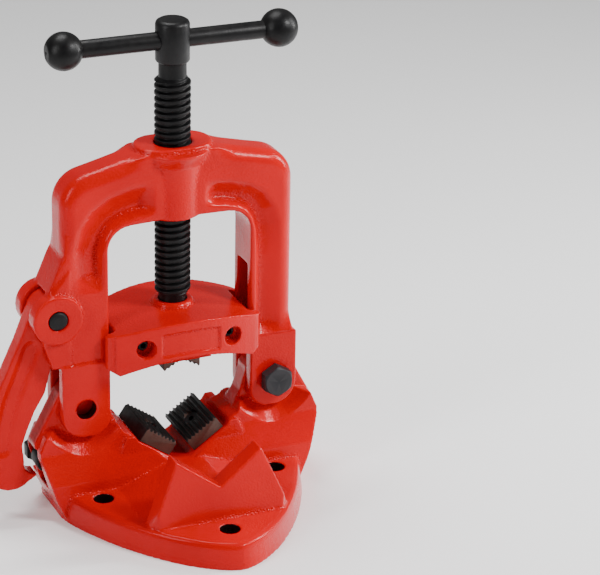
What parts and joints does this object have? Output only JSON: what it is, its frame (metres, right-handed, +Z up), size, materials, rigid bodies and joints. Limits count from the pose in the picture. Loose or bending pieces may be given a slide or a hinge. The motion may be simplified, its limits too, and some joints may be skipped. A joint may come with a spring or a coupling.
{
  "type": "hinged yoke pipe vise",
  "caption": "Bench vise that clamps a pipe between toothed vee jaws: a hooked, hinged yoke carries a spindle with a sliding handle and a jaw holder",
  "frame": {"origin": "underside of the base, under the axis of the spindle", "axes": "+Z up along the spindle, Y along the pipe with the pipe rest towards -Y, +X towards the hinge"},
  "size_m": [0.256, 0.1805, 0.3635],
  "materials": {
    "enamel": "glossy red enamel over sand-cast iron",
    "black_steel": "black oxide",
    "jaw_steel": "hardened, dark with brown bare ends",
    "bright_steel": "plain steel"
  },
  "bodies": {
    "base": {"base_casting": "enamel", "lower_jaw_left": "jaw_steel", "lower_jaw_right": "jaw_steel", "lower_jaw_screw_left": "black_steel", "lower_jaw_screw_right": "black_steel", "catch_bolt": "black_steel", "catch_roller": "black_steel", "hinge_bolt": "black_steel", "hinge_nut": "black_steel", "hinge_washer": "bright_steel"},
    "yoke": {"yoke_frame": "enamel", "latch_pin": "black_steel"},
    "latch": {"latch_hook": "enamel"},
    "jaw_carrier": {"jaw_holder": "enamel", "upper_jaw": "jaw_steel", "upper_jaw_screw_front": "black_steel", "upper_jaw_screw_rear": "black_steel", "spindle_keeper": "bright_steel", "keeper_screw_left": "black_steel", "keeper_screw_right": "black_steel", "thrust_washer": "bright_steel"},
    "screw": {"spindle": "black_steel"},
    "handle": {"handle_bar": "black_steel", "handle_ball_left": "black_steel", "handle_ball_right": "black_steel"}
  },
  "joints": [
    {"name": "yoke_swing", "type": "hinge", "parent": "base", "child": "yoke", "pos_m": [0.073, 0, 0.0835], "axis": [0, 1, 0], "range_deg": [0, 82]},
    {"name": "latch_swing", "type": "hinge", "parent": "yoke", "child": "latch", "pos_m": [-0.094, 0, 0.1575], "axis": [0, 1, 0], "range_deg": [-4, 40]},
    {"name": "jaw_travel", "type": "slide", "parent": "yoke", "child": "jaw_carrier", "axis": [0, 0, 1], "range_m": [-0.03, 0.024]},
    {"name": "spindle_turn", "type": "hinge", "parent": "jaw_carrier", "child": "screw", "pos_m": [0, 0, 0.3485], "axis": [0, 0, 1], "range_deg": [-2200, 1760]},
    {"name": "handle_slide", "type": "slide", "parent": "screw", "child": "handle", "axis": [0.999, -0.0436, 0], "range_m": [-0.052, 0.052]}
  ],
  "couplings": [
    {"joint": "spindle_turn", "follows": "jaw_travel", "rad_per_m": 1256.6}
  ]
}
